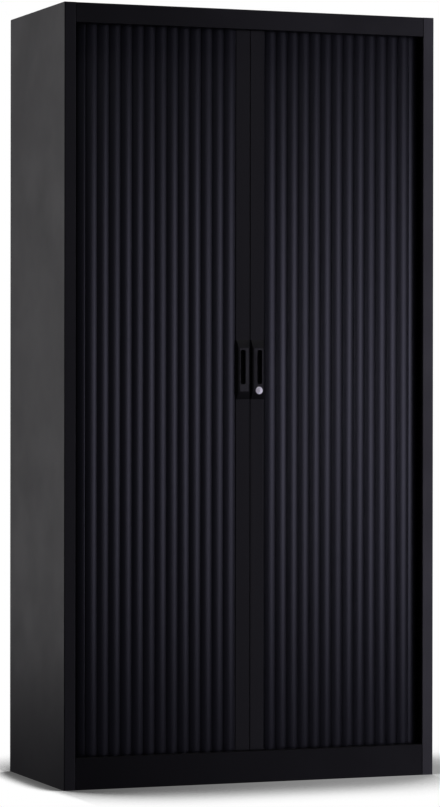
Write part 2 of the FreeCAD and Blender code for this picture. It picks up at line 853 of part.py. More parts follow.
def striker():
    face_x = -stile_in_x - stile_wall
    low = (face_x - striker_sheet, striker_front_y, hook_slot_low - striker_margin)
    plate = box(low, (face_x, striker_back_y, hook_slot_top + striker_margin / 2))
    return plate.cut(hook_window(face_x - striker_sheet - overrun, face_x + overrun))


save("striker_plate", [striker()])

# Seal on the left stile that closes most of the gap between the doors
seal_reach = 1.6
seal_depth = 2.0
seal_back_y = stile_front_y + stile_nose_radius + seal_depth


def door_seal():
    low = (-stile_in_x, seal_back_y - seal_depth, inside_bottom_z)
    return box(low, (seal_reach - stile_in_x, seal_back_y, inside_top_z))


save("door_seal", [door_seal()])
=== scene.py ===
import bpy
import bmesh
import json
import math
from mathutils import Matrix, Vector


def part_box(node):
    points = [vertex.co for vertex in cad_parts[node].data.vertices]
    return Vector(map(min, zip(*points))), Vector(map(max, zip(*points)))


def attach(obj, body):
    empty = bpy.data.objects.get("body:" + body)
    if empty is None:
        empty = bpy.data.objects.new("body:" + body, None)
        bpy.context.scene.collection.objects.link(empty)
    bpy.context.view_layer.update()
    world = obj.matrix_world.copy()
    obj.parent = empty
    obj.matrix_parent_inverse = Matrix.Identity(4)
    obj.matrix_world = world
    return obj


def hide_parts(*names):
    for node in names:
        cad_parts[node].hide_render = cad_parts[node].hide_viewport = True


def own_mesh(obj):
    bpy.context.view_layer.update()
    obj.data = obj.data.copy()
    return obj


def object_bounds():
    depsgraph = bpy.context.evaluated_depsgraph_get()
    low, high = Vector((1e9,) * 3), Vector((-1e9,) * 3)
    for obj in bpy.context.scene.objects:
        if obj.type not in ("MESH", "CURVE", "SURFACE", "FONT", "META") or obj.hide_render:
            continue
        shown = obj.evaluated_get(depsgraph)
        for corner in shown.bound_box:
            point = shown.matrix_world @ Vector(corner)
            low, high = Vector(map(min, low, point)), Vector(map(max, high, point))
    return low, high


# Black steel cupboard with two roll fronts: finishes and fine shapes on the fixed frame, in metres
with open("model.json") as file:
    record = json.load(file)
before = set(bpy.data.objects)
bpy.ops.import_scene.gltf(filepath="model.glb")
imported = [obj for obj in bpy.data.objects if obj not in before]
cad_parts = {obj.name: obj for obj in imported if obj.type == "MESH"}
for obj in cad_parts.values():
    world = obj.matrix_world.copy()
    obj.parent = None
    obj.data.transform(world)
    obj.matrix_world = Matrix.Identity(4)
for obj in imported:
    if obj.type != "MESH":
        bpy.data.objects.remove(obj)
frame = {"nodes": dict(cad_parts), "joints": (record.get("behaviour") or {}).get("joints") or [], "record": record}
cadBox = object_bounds()
nodes = frame["nodes"]
slotOf = {part["node"]: part["material_slot"] for part in frame["record"]["subparts"]}
jointOf = {joint["name"]: joint for joint in frame["joints"]}
print("frame loaded:", len(nodes), "nodes")


# Small helpers for shader trees

def feed(tree, socket, value):
    if isinstance(value, bpy.types.NodeSocket):
        tree.links.new(value, socket)
    else:
        socket.default_value = value


def addNode(tree, kind, inputs=None, **attributes):
    made = tree.nodes.new(kind)
    for name, value in attributes.items():
        setattr(made, name, value)
    for name, value in (inputs or {}).items():
        feed(tree, made.inputs[name], value)
    return made


def calc(tree, operation, first, second=0.0):
    made = addNode(tree, "ShaderNodeMath", {0: first, 1: second}, operation=operation, use_clamp=True)
    return made.outputs[0]


def times(tree, product, *others):
    for value in others:
        product = calc(tree, "MULTIPLY", product, value)
    return product


def remap(tree, value, fromLow, fromHigh, toLow=0.0, toHigh=1.0):
    limits = {"Value": value, "From Min": fromLow, "From Max": fromHigh, "To Min": toLow, "To Max": toHigh}
    return addNode(tree, "ShaderNodeMapRange", limits).outputs[0]


def mixColour(tree, amount, low, high):
    return addNode(tree, "ShaderNodeMix", {0: amount, 6: low, 7: high}, data_type="RGBA").outputs[2]


def mixValue(tree, amount, low, high):
    return addNode(tree, "ShaderNodeMix", {0: amount, 2: low, 3: high}, data_type="FLOAT").outputs[0]


def objectPlace(tree, stretch=(1, 1, 1), turn=(0, 0, 0)):
    coordinate = tree.nodes.new("ShaderNodeTexCoord").outputs["Object"]
    placing = {"Vector": coordinate, "Scale": stretch, "Rotation": turn}
    return addNode(tree, "ShaderNodeMapping", placing).outputs[0]


def noise(tree, place, scale, detail=2.0, roughness=0.5):
    looks = {"Vector": place, "Scale": scale, "Detail": detail, "Roughness": roughness}
    return addNode(tree, "ShaderNodeTexNoise", looks).outputs[0]


def startGroup(name, inputs, outputs):
    tree = bpy.data.node_groups.new(name, "ShaderNodeTree")
    for label, value in inputs.items():
        kind = "NodeSocketVector" if isinstance(value, tuple) else "NodeSocketFloat"
        tree.interface.new_socket(label, in_out="INPUT", socket_type=kind).default_value = value
    for label in outputs:
        tree.interface.new_socket(label, in_out="OUTPUT", socket_type="NodeSocketFloat")
    return tree, tree.nodes.new("NodeGroupInput").outputs, tree.nodes.new("NodeGroupOutput").inputs


def useGroup(tree, group, **values):
    made = addNode(tree, "ShaderNodeGroup", node_tree=group)
    for label, value in values.items():
        feed(tree, made.inputs[label], value)
    return made.outputs


def startMaterial(name):
    material = bpy.data.materials.new(name)
    material.use_nodes = True
    return material, material.node_tree, material.node_tree.nodes["Principled BSDF"]


def addBump(tree, shader, height, distance):
    bump = addNode(tree, "ShaderNodeBump", {"Height": height, "Distance": distance, "Strength": 1.0})
    tree.links.new(bump.outputs[0], shader.inputs["Normal"])


# Effects that several finishes share

wearStyle = {
    "samples": 4, "sharpness": (0.985, 0.86), "patchNoise": (55.0, 4.0, 0.65), "patches": (0.46, 0.66),
}


def makeEdgeWear(style):
    tree, inside, out = startGroup("edgeWear", {"Width": 0.001, "Amount": 0.5}, ["Mask"])
    bevel = addNode(tree, "ShaderNodeBevel", {"Radius": inside["Width"]}, samples=style["samples"])
    flat = tree.nodes.new("ShaderNodeNewGeometry").outputs["Normal"]
    likeness = addNode(tree, "ShaderNodeVectorMath", {0: bevel.outputs[0], 1: flat}, operation="DOT_PRODUCT")
    edge = remap(tree, likeness.outputs["Value"], *style["sharpness"])
    patches = remap(tree, noise(tree, objectPlace(tree), *style["patchNoise"]), *style["patches"])
    feed(tree, out["Mask"], times(tree, edge, patches, inside["Amount"]))
    return tree


dustStyle = {
    "colour": (0.16, 0.155, 0.145, 1), "facing": (0.35, 0.95, 0.06, 1.0),
    "driftNoise": (7.0, 5.0, 0.6), "drifts": (0.35, 0.75), "driftShare": 0.35,
    "speckNoise": (900.0, 1.0), "specks": (0.63, 0.74), "speckShare": 0.8,
}


def makeSettledDust(style):
    tree, inside, out = startGroup("settledDust", {"Amount": 0.3}, ["Mask"])
    normal = tree.nodes.new("ShaderNodeNewGeometry").outputs["Normal"]
    upward = addNode(tree, "ShaderNodeSeparateXYZ", {0: normal}).outputs[2]
    lying = remap(tree, upward, *style["facing"])
    place = objectPlace(tree)
    drifts = remap(tree, noise(tree, place, *style["driftNoise"]), *style["drifts"])
    specks = remap(tree, noise(tree, place, *style["speckNoise"]), *style["specks"])
    drifts = times(tree, drifts, style["driftShare"])
    specks = times(tree, specks, style["speckShare"])
    feed(tree, out["Mask"], times(tree, lying, calc(tree, "ADD", drifts, specks), inside["Amount"]))
    return tree


grainStyle = {
    "fine": (2.0, 0.55), "waveSize": 0.22, "waveShare": 0.4, "mottleNoise": (5.0, 3.0, 0.6),
    "mottle": (0.3, 0.7),
}


def makePowderGrain(style):
    tree, inside, out = startGroup("powderGrain", {"Scale": 700.0}, ["Height", "Mottle"])
    place = objectPlace(tree)
    fine = noise(tree, place, inside["Scale"], *style["fine"])
    scaling = {0: inside["Scale"], 1: style["waveSize"]}
    waves = noise(tree, place, addNode(tree, "ShaderNodeMath", scaling, operation="MULTIPLY").outputs[0])
    mottle = noise(tree, place, *style["mottleNoise"])
    feed(tree, out["Height"], mixValue(tree, style["waveShare"], fine, waves))
    feed(tree, out["Mottle"], remap(tree, mottle, *style["mottle"]))
    return tree


lineStyle = {"fine": (3.0, 0.6), "streakNoise": (190.0, 2.0), "streaks": (0.3, 0.7)}


def makeDrawLines(style):
    inputs = {"Stretch": (1.0, 1.0, 0.004), "Scale": 1400.0}
    tree, inside, out = startGroup("drawLines", inputs, ["Height", "Streaks"])
    place = objectPlace(tree, inside["Stretch"])
    streaks = noise(tree, place, *style["streakNoise"])
    feed(tree, out["Height"], noise(tree, place, inside["Scale"], *style["fine"]))
    feed(tree, out["Streaks"], remap(tree, streaks, *style["streaks"]))
    return tree


mouldStyle = {"fineScale": 2600.0, "fineShare": 0.45, "mottleNoise": (60.0, 3.0), "mottle": (0.3, 0.7)}


def makeMouldGrain(style):
    tree, inside, out = startGroup("mouldGrain", {"Scale": 1500.0}, ["Height", "Mottle"])
    place = objectPlace(tree)
    lookup = {"Vector": place, "Scale": inside["Scale"]}
    cells = addNode(tree, "ShaderNodeTexVoronoi", lookup, feature="SMOOTH_F1").outputs["Distance"]
    fine = noise(tree, place, style["fineScale"])
    feed(tree, out["Height"], mixValue(tree, style["fineShare"], cells, fine))
    feed(tree, out["Mottle"], remap(tree, noise(tree, place, *style["mottleNoise"]), *style["mottle"]))
    return tree


markStyle = {
    "stretch": (1.0, 0.03, 1.0), "lineNoise": (650.0, 2.0, 0.4), "lines": (0.66, 0.72),
    "patchNoise": (9.0, 2.0), "patches": (0.5, 0.68),
}


def makeHandlingMarks(style):
    tree, inside, out = startGroup("handlingMarks", {"Turn": (0.0, 0.0, 0.6), "Amount": 0.5}, ["Mask"])
    place = objectPlace(tree, style["stretch"], inside["Turn"])
    lines = remap(tree, noise(tree, place, *style["lineNoise"]), *style["lines"])
    where = remap(tree, noise(tree, objectPlace(tree), *style["patchNoise"]), *style["patches"])
    feed(tree, out["Mask"], times(tree, lines, where, inside["Amount"]))
    return tree


# cavityShade gives a mask of painted shade: high where ambient occlusion finds a hollow or crease
cavityStyle = {"samples": 8, "openness": (0.45, 0.12)}


def makeCavityShade(style):
    tree, inside, out = startGroup("cavityShade", {"Reach": 0.008}, ["Mask"])
    reach = {"Distance": inside["Reach"]}
    openness = addNode(tree, "ShaderNodeAmbientOcclusion", reach, samples=style["samples"]).outputs["AO"]
    feed(tree, out["Mask"], remap(tree, openness, *style["openness"]))
    return tree


edgeWear = makeEdgeWear(wearStyle)
settledDust = makeSettledDust(dustStyle)
powderGrain = makePowderGrain(grainStyle)
drawLines = makeDrawLines(lineStyle)
mouldGrain = makeMouldGrain(mouldStyle)
handlingMarks = makeHandlingMarks(markStyle)
cavityShade = makeCavityShade(cavityStyle)
print("shared effects made")


# Powder coat: outside, on the flat panels, on the plinth and inside; the plinth copy carries painted shade and the
# inside copy painted light

outsidePaint = {
    "colour": (0.0100, 0.0100, 0.0104, 1), "deep": (0.0080, 0.0080, 0.0084, 1),
    "worn": (0.035, 0.035, 0.036, 1), "wear": 0.35, "wearWidth": 0.0009,
    "roughness": (0.31, 0.39), "markRoughness": 0.3, "dustRoughness": 0.85, "specular": 0.37,
    "grainScale": 900.0, "grainDepth": 0.00005, "dust": 0.16, "marks": 0.0,
}
panelPaint = dict(outsidePaint, specular=0.22, roughness=(0.34, 0.42))
# The plinth paint is the panel paint with weaker reflection, so the plinth looks darker: painted shade near the
# floor
plinthPaintWithPaintedShade = dict(panelPaint, specular=0.13)
# The inside paint is lighter than the outside paint, standing in for light in the shaded interior: painted light;
# its extra wear, dust and marks are real
insidePaintWithPaintedLight = dict(
    outsidePaint, colour=(0.0240, 0.0240, 0.0250, 1), deep=(0.0190, 0.0190, 0.0200, 1),
    worn=(0.055, 0.055, 0.056, 1), wear=0.45, roughness=(0.40, 0.50), grainDepth=0.00004,
    dust=0.30, marks=0.5,
)


def powderCoat(name, style):
    material, tree, shader = startMaterial(name)
    grain = useGroup(tree, powderGrain, Scale=style["grainScale"])
    worn = useGroup(tree, edgeWear, Width=style["wearWidth"], Amount=style["wear"])["Mask"]
    dusty = useGroup(tree, settledDust, Amount=style["dust"])["Mask"]
    colour = mixColour(tree, grain["Mottle"], style["colour"], style["deep"])
    colour = mixColour(tree, worn, colour, style["worn"])
    rough = remap(tree, grain["Mottle"], 0.0, 1.0, *style["roughness"])
    if style["marks"] > 0:
        marked = useGroup(tree, handlingMarks, Amount=style["marks"])["Mask"]
        colour = mixColour(tree, marked, colour, style["worn"])
        rough = mixValue(tree, marked, rough, style["markRoughness"])
    feed(tree, shader.inputs["Base Color"], mixColour(tree, dusty, colour, dustStyle["colour"]))
    feed(tree, shader.inputs["Roughness"], mixValue(tree, dusty, rough, style["dustRoughness"]))
    shader.inputs["Specular IOR Level"].default_value = style["specular"]
    addBump(tree, shader, grain["Height"], style["grainDepth"])
    return material


# Drawn plastic: slats, stiles and tracks

slatPlastic = {
    "colour": (0.0085, 0.0085, 0.0118, 1), "deep": (0.0070, 0.0070, 0.0098, 1),
    "worn": (0.03, 0.03, 0.034, 1), "wear": 0.25, "wearWidth": 0.0006,
    "roughness": (0.34, 0.42), "dustRoughness": 0.8, "tint": (0.90, 0.92, 1.0, 1), "specular": 0.72,
    "stretch": (1.0, 1.0, 0.004), "lineScale": 1400.0, "lineDepth": 0.000003, "dust": 0.10,
}
stilePlastic = dict(
    slatPlastic, colour=(0.0105, 0.0105, 0.0105, 1), deep=(0.0090, 0.0090, 0.0090, 1),
    roughness=(0.36, 0.44), tint=(1, 1, 1, 1), specular=0.22,
)
trackPlastic = dict(
    stilePlastic, stretch=(0.01, 0.01, 1.0), lineScale=1800.0, roughness=(0.36, 0.52), dust=0.25,
)


def drawnPlastic(name, style):
    material, tree, shader = startMaterial(name)
    lines = useGroup(tree, drawLines, Stretch=style["stretch"], Scale=style["lineScale"])
    worn = useGroup(tree, edgeWear, Width=style["wearWidth"], Amount=style["wear"])["Mask"]
    dusty = useGroup(tree, settledDust, Amount=style["dust"])["Mask"]
    colour = mixColour(tree, lines["Streaks"], style["colour"], style["deep"])
    colour = mixColour(tree, worn, colour, style["worn"])
    feed(tree, shader.inputs["Base Color"], mixColour(tree, dusty, colour, dustStyle["colour"]))
    rough = remap(tree, lines["Streaks"], 0.0, 1.0, *style["roughness"])
    feed(tree, shader.inputs["Roughness"], mixValue(tree, dusty, rough, style["dustRoughness"]))
    shader.inputs["Specular Tint"].default_value = style["tint"]
    shader.inputs["Specular IOR Level"].default_value = style["specular"]
    addBump(tree, shader, lines["Height"], style["lineDepth"])
    return material


# Moulded plastic and rubber: handles, plugs, feet and seal

# deep and deepRoughness are the near-black colour and the roughness painted into hollows as shade
handlePlastic = {
    "colour": (0.0100, 0.0100, 0.0100, 1), "roughness": (0.42, 0.52), "dust": 0.10,
    "rubbed": (0.018, 0.018, 0.018, 1), "rubbedRoughness": 0.30, "wear": 0.6, "wearWidth": 0.0012,
    "deep": (0.002, 0.002, 0.002, 1), "deepRoughness": 0.85, "cavityReach": 0.009,
    "grainScale": 1500.0, "grainDepth": 0.00006,
}
plugPlastic = dict(handlePlastic, roughness=(0.5, 0.6), grainDepth=0.00003, wear=0.2, dust=0.35)
footRubber = dict(
    handlePlastic, colour=(0.016, 0.016, 0.016, 1), roughness=(0.66, 0.78), rubbedRoughness=0.55, dust=0.5,
)
sealRubber = dict(footRubber, grainScale=2600.0, grainDepth=0.00002, wear=0.2, dust=0.2)


def mouldedPlastic(name, style):
    material, tree, shader = startMaterial(name)
    grain = useGroup(tree, mouldGrain, Scale=style["grainScale"])
    worn = useGroup(tree, edgeWear, Width=style["wearWidth"], Amount=style["wear"])["Mask"]
    dusty = useGroup(tree, settledDust, Amount=style["dust"])["Mask"]
    # Hollows and creases go near black and rough: painted shade from an occlusion mask
    paintedShadeMask = useGroup(tree, cavityShade, Reach=style["cavityReach"])["Mask"]
    colour = mixColour(tree, worn, style["colour"], style["rubbed"])
    colour = mixColour(tree, dusty, colour, dustStyle["colour"])
    feed(tree, shader.inputs["Base Color"], mixColour(tree, paintedShadeMask, colour, style["deep"]))
    rough = remap(tree, grain["Mottle"], 0.0, 1.0, *style["roughness"])
    rough = mixValue(tree, worn, rough, style["rubbedRoughness"])
    feed(tree, shader.inputs["Roughness"], mixValue(tree, paintedShadeMask, rough, style["deepRoughness"]))
    addBump(tree, shader, grain["Height"], style["grainDepth"])
    return material


# Plated metal: the lock, and the screws and stems

lockNickel = {
    "colour": (0.86, 0.85, 0.83, 1), "roughness": (0.28, 0.40), "metallic": 1.0,
    "tarnish": (0.60, 0.57, 0.52, 1), "cloudNoise": (240.0, 4.0, 0.6), "clouds": (0.5, 0.8),
    "stretch": (1.0, 0.15, 1.0), "lineScale": 2200.0, "lineDepth": 0.000003,
    "marks": 0.6, "markTurn": (0.0, 0.7, 0.3), "markRoughness": 0.5,
}


def platedNickel(name, style):
    material, tree, shader = startMaterial(name)
    turned = useGroup(tree, drawLines, Stretch=style["stretch"], Scale=style["lineScale"])
    marked = useGroup(tree, handlingMarks, Turn=style["markTurn"], Amount=style["marks"])["Mask"]
    cloudy = remap(tree, noise(tree, objectPlace(tree), *style["cloudNoise"]), *style["clouds"])
    feed(tree, shader.inputs["Base Color"], mixColour(tree, cloudy, style["colour"], style["tarnish"]))
    rough = remap(tree, turned["Streaks"], 0.0, 1.0, *style["roughness"])
    feed(tree, shader.inputs["Roughness"], mixValue(tree, marked, rough, style["markRoughness"]))
    shader.inputs["Metallic"].default_value = style["metallic"]
    addBump(tree, shader, turned["Height"], style["lineDepth"])
    return material


zincSteel = {
    "bright": (0.56, 0.57, 0.58, 1), "dull": (0.36, 0.36, 0.35, 1), "gold": (0.50, 0.47, 0.36, 1),
    "spangle": 420.0, "patchNoise": (45.0, 3.0), "patches": (0.5, 0.75, 0.0, 0.5),
    "roughness": (0.30, 0.50), "depth": 0.000015, "dust": 0.2, "metallic": 0.9,
}


def platedZinc(name, style):
    material, tree, shader = startMaterial(name)
    place = objectPlace(tree)
    spangle = addNode(tree, "ShaderNodeTexVoronoi", {"Vector": place, "Scale": style["spangle"]})
    shade = addNode(tree, "ShaderNodeSeparateColor", {0: spangle.outputs["Color"]}).outputs[0]
    patches = remap(tree, noise(tree, place, *style["patchNoise"]), *style["patches"])
    dusty = useGroup(tree, settledDust, Amount=style["dust"])["Mask"]
    colour = mixColour(tree, shade, style["bright"], style["dull"])
    colour = mixColour(tree, patches, colour, style["gold"])
    feed(tree, shader.inputs["Base Color"], mixColour(tree, dusty, colour, dustStyle["colour"]))
    feed(tree, shader.inputs["Roughness"], remap(tree, shade, 0.0, 1.0, *style["roughness"]))
    shader.inputs["Metallic"].default_value = style["metallic"]
    addBump(tree, shader, shade, style["depth"])
    return material


finishes = {
    "side_paint": powderCoat("outsidePaint", outsidePaint),
    "panel_paint": powderCoat("panelPaint", panelPaint),
    "inside_paint": powderCoat("insidePaintWithPaintedLight", insidePaintWithPaintedLight),
    "slat_plastic": drawnPlastic("slatPlastic", slatPlastic),
    "stile_finish": drawnPlastic("stilePlastic", stilePlastic),
    "track_plastic": drawnPlastic("trackPlastic", trackPlastic),
    "handle_plastic": mouldedPlastic("handlePlastic", handlePlastic),
    "plug_plastic": mouldedPlastic("plugPlastic", plugPlastic),
    "foot_rubber": mouldedPlastic("footRubber", footRubber),
    "seal_rubber": mouldedPlastic("sealRubber", sealRubber),
    "lock_metal": platedNickel("lockNickel", lockNickel),
    "zinc_steel": platedZinc("zincSteel", zincSteel),
}
ownFinishes = {"plinth": powderCoat("plinthPaintWithPaintedShade", plinthPaintWithPaintedShade)}
print("finishes made:", len(finishes) + len(ownFinishes))

for name, slot in slotOf.items():
    mesh = nodes[name].data
    mesh.materials.clear()
    mesh.materials.append(ownFinishes.get(name, finishes[slot]))
print("frame dressed")


# Small helpers for meshes

weldWidth = 1e-7  # vertices nearer than this become one


def addBox(bm, low, high):
    size = Vector(high) - Vector(low)
    middle = (Vector(high) + Vector(low)) / 2
    place = Matrix.Translation(middle) @ Matrix.Diagonal((*size, 1))
    return bmesh.ops.create_cube(bm, size=1.0, matrix=place)["verts"]


def addRod(bm, radius, low, high, steps):
    low = Vector(low)
    run = Vector(high) - low
    place = Matrix.Translation(low + run / 2) @ run.to_track_quat("Z", "Y").to_matrix().to_4x4()
    bmesh.ops.create_cone(
        bm, cap_ends=True, segments=steps, radius1=radius, radius2=radius, depth=run.length, matrix=place)


def addDisc(bm, radius, centre, steps):
    place = Matrix.Translation(centre) @ Matrix.Rotation(math.radians(90), 4, "X")
    bmesh.ops.create_circle(bm, cap_ends=True, radius=radius, segments=steps, matrix=place)


def vertsIn(geometry):
    return [item for item in geometry if isinstance(item, bmesh.types.BMVert)]


def openEdges(bm):
    return [e for e in bm.edges if e.is_boundary]


def roundOff(bm, geometry, width, segments, affect="EDGES", clamp=False):
    bmesh.ops.bevel(
        bm, geom=geometry, offset=width, offset_type="OFFSET", segments=segments, profile=0.5,
        affect=affect, material=-1, clamp_overlap=clamp)


def softenEdges(bm, width, segments=2, sharper=30, among=None):
    limit = math.radians(sharper)
    edges = [e for e in (among or bm.edges) if len(e.link_faces) == 2 and e.calc_face_angle(0) > limit]
    roundOff(bm, edges, width, segments, clamp=True)


def extrudeFaces(bm, faces, move, keep=False):
    grown = vertsIn(bmesh.ops.extrude_face_region(bm, geom=faces, use_keep_orig=keep)["geom"])
    bmesh.ops.translate(bm, verts=grown, vec=move)
    return grown


def cutAt(bm, place, normal, drop=False):
    everything = list(bm.verts) + list(bm.edges) + list(bm.faces)
    bmesh.ops.bisect_plane(
        bm, geom=everything, plane_co=place, plane_no=normal, dist=weldWidth, clear_outer=drop)


def cutGrid(bm, placesX, placesZ):
    for x in placesX:
        cutAt(bm, (x, 0, 0), (1, 0, 0))
    for z in placesZ:
        cutAt(bm, (0, 0, z), (0, 0, 1))
    bmesh.ops.recalc_face_normals(bm, faces=bm.faces)


def facesWithin(bm, spanX, spanZ, facing, likeness=0.7):
    found = []
    for face in bm.faces:
        middle = face.calc_center_median()
        inside = spanX[0] < middle.x < spanX[1] and spanZ[0] < middle.z < spanZ[1]
        if inside and face.normal.dot(Vector(facing)) > likeness:
            found.append(face)
    return found


def pushFaces(bm, faces, depthY):
    moved = vertsIn(bmesh.ops.extrude_face_region(bm, geom=faces)["geom"])
    # A face that is alone in the region stays behind.
    bmesh.ops.delete(bm, geom=[f for f in faces if f.is_valid], context="FACES")
    for vert in moved:
        vert.co.y = depthY
    return moved


def turnProfile(bm, points, centre, axis, steps, closed=True):
    verts = [bm.verts.new(Vector(centre) + Vector(p)) for p in points]
    following = verts[1:] + verts[:1] if closed else verts[1:]
    edges = [bm.edges.new(pair) for pair in zip(verts, following)]
    bmesh.ops.spin(
        bm, geom=verts + edges, cent=centre, axis=axis, angle=2 * math.pi, steps=steps, use_merge=True)


def roundedCorner(radius, level, across, along, share=0.3):
    middle = (radius - share * across, level + share * along)
    return [(radius - across, level), middle, (radius, level + along)]


def mirrorAcross(bm):
    bmesh.ops.scale(bm, vec=(-1, 1, 1), verts=bm.verts)


def makePiece(bm, name, body, slot, replaced=(), smooth=32):
    bmesh.ops.remove_doubles(bm, verts=bm.verts, dist=weldWidth)
    bmesh.ops.recalc_face_normals(bm, faces=bm.faces)
    for face in bm.faces:
        face.smooth = True
    mesh = bpy.data.meshes.new(name)
    bm.to_mesh(mesh)
    bm.free()
    mesh.set_sharp_from_angle(angle=math.radians(smooth))
    mesh.materials.append(finishes[slot])
    piece = bpy.data.objects.new(name, mesh)
    bpy.context.scene.collection.objects.link(piece)
    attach(piece, body)
    if replaced:
        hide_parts(*replaced)
    return piece


# Slats of the two roll fronts

slatStyle = {
    "crownHalf": 0.014625, "crownFront": 0.0046, "crownEdge": 0.0016, "crownSteps": 16,
    "lip": 0.0010, "boxHalf": 0.0120, "back": 0.0042, "edgeRound": 0.00035,
    "pivotDepth": 0.0020, "beadRadius": 0.0011, "beadSteps": 10, "neck": 0.0008,
    "socketBore": 0.00145, "socketRadius": 0.0022, "mouth": (-22.0, 52.0), "socketSteps": 9,
    "tongueHalf": (0.0080, 0.0020), "tongueInside": 0.010, "tongueRound": 0.0006, "stackedPitch": 0.0013,
}
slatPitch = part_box("right_slat_02")[0].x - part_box("right_slat_01")[0].x
slatCount = sum(name.startswith("right_slat_") for name in nodes)
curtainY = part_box("right_slat_01")[0].y + slatStyle["crownFront"]
slatLowZ, slatHighZ = (corner.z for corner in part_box("door_seal"))
tongueLowZ, tongueHighZ = (corner.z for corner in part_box("right_slat_01"))
slatUp = (0, 0, slatHighZ - slatLowZ)


def addCrown(bm, style):
    rise = style["crownFront"] - style["crownEdge"]
    half = style["crownHalf"]
    radius = (half ** 2 + rise ** 2) / (2 * rise)
    start = bm.verts.new((-half, -style["crownEdge"], slatLowZ))
    bmesh.ops.spin(
        bm, geom=[start], cent=(0, radius - style["crownFront"], slatLowZ), axis=(0, 0, 1),
        angle=2 * math.asin(half / radius), steps=style["crownSteps"], use_merge=False)
    lip = style["lip"] - style["crownEdge"]
    right = [(half, lip), (style["boxHalf"], lip), (style["boxHalf"], style["back"])]
    left = [(-x, y) for x, y in reversed(right)]
    outline = list(bm.verts) + [bm.verts.new((x, y, slatLowZ)) for x, y in right + left]
    extrudeFaces(bm, [bm.faces.new(outline)], slatUp)
    softenEdges(bm, style["edgeRound"])


def addSocket(bm, style):
    low, high = (math.radians(a) for a in style["mouth"])
    centre = Vector((-slatPitch / 2, style["pivotDepth"], slatLowZ))
    way = Vector((math.cos(math.pi - low), math.sin(math.pi - low), 0))
    ends = [bm.verts.new(centre + way * style[size]) for size in ("socketBore", "socketRadius")]
    edge = bm.edges.new(ends)
    before = set(bm.faces)
    bmesh.ops.spin(
        bm, geom=[edge, *ends], cent=centre, axis=(0, 0, 1), angle=2 * math.pi - (high - low),
        steps=style["socketSteps"], use_merge=False)
    extrudeFaces(bm, [f for f in bm.faces if f not in before], slatUp, keep=True)


def addHinge(bm, style):
    depth = style["pivotDepth"]
    web = style["neck"] / 2
    bead = (slatPitch / 2, depth)
    addRod(bm, style["beadRadius"], (*bead, slatLowZ), (*bead, slatHighZ), style["beadSteps"])
    neckEnd = slatPitch / 2 - style["beadRadius"] / 2
    addBox(bm, (style["boxHalf"] - web, depth - web, slatLowZ), (neckEnd, depth + web, slatHighZ))
    bridgeEnd = style["socketBore"] + web - slatPitch / 2
    addBox(bm, (bridgeEnd, depth - web, slatLowZ), (web - style["boxHalf"], depth + web, slatHighZ))


def addTongues(bm, style):
    halfX, halfY = style["tongueHalf"]
    inside = style["tongueInside"]
    for low, high in ((tongueLowZ, slatLowZ + inside), (slatHighZ - inside, tongueHighZ)):
        corners = addBox(bm, (-halfX, -halfY, low), (halfX, halfY, high))
        edges = list({e for v in corners for e in v.link_edges})
        softenEdges(bm, style["tongueRound"], among=edges)


def tailPlace(style, number):
    turnCentre = Vector(jointOf["right_slat_%02d_turn" % number]["pos_m"]).xy.to_3d()
    pivotRadius = turnCentre.y - curtainY - style["pivotDepth"]
    lean = math.asin(slatPitch / 2 / pivotRadius)
    inset = pivotRadius * math.cos(lean) + style["pivotDepth"]
    turned = Matrix.Translation(turnCentre) @ Matrix.Rotation(lean, 4, "Z")
    return turned @ Matrix.Translation((0, -inset, 0))


def makeSlat(side, number, style):
    name = "%s_slat_%02d" % (side, number)
    bm = bmesh.new()
    addCrown(bm, style)
    addSocket(bm, style)
    addHinge(bm, style)
    addTongues(bm, style)
    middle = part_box("right_slat_%02d" % number)[0].x + style["socketRadius"] + slatPitch / 2
    place = Matrix.Translation((middle, curtainY, 0)) if number < slatCount else tailPlace(style, number)
    bmesh.ops.transform(bm, matrix=place, verts=bm.verts)
    if side == "left":
        mirrorAcross(bm)
        middle = -middle
    piece = makePiece(bm, name.replace("slat_", "slatPiece_"), name, "slat_plastic", [name])
    if 1 < number < slatCount:
        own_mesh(piece)


for side in ("left", "right"):
    for number in range(1, slatCount + 1):
        makeSlat(side, number, slatStyle)
print("slats made:", 2 * slatCount)


# Handles: flat mouldings with sloped edges round a deep finger slot

handleStyle = {
    "plate": 0.0020, "innerSlope": 0.0020, "outerSlope": 0.0020, "taper": 0.0200,
    "slotX": (0.0160, 0.0290), "slotLow": 0.0380, "slotTop": 0.0250, "slotCorner": 0.0042,
    "wall": 0.0012, "edgeRound": 0.0012, "edgeSteps": 3, "sharper": 20, "shoulder": 0.0036,
    "shoulderSteps": 6, "cornerSteps": 5, "depthwise": 0.9, "smooth": 40,
}
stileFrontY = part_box("right_stile")[0].y
handleLow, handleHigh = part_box("left_handle")


def addHandleBody(bm, style):
    inX = -handleHigh.x
    outX = -handleLow.x
    plateY = stileFrontY - style["plate"]
    plan = [
        (inX, stileFrontY),
        (inX, plateY),
        (inX + style["innerSlope"], handleLow.y),
        (outX - style["outerSlope"], handleLow.y),
        (outX, plateY),
        (outX, stileFrontY),
    ]
    corners = [bm.verts.new((x, y, handleLow.z)) for x, y in plan]
    bm.faces.new(corners)
    roundOff(bm, corners[2:4], style["shoulder"], style["shoulderSteps"], affect="VERTICES")
    extrudeFaces(bm, list(bm.faces), (0, 0, handleHigh.z - handleLow.z))
    bmesh.ops.recalc_face_normals(bm, faces=bm.faces)
    for tipZ, way in ((handleLow.z, -1), (handleHigh.z, 1)):
        slope = (0, -style["taper"], way * (plateY - handleLow.y))
        cutAt(bm, (0, plateY, tipZ), slope, drop=True)
        bmesh.ops.holes_fill(bm, edges=openEdges(bm))


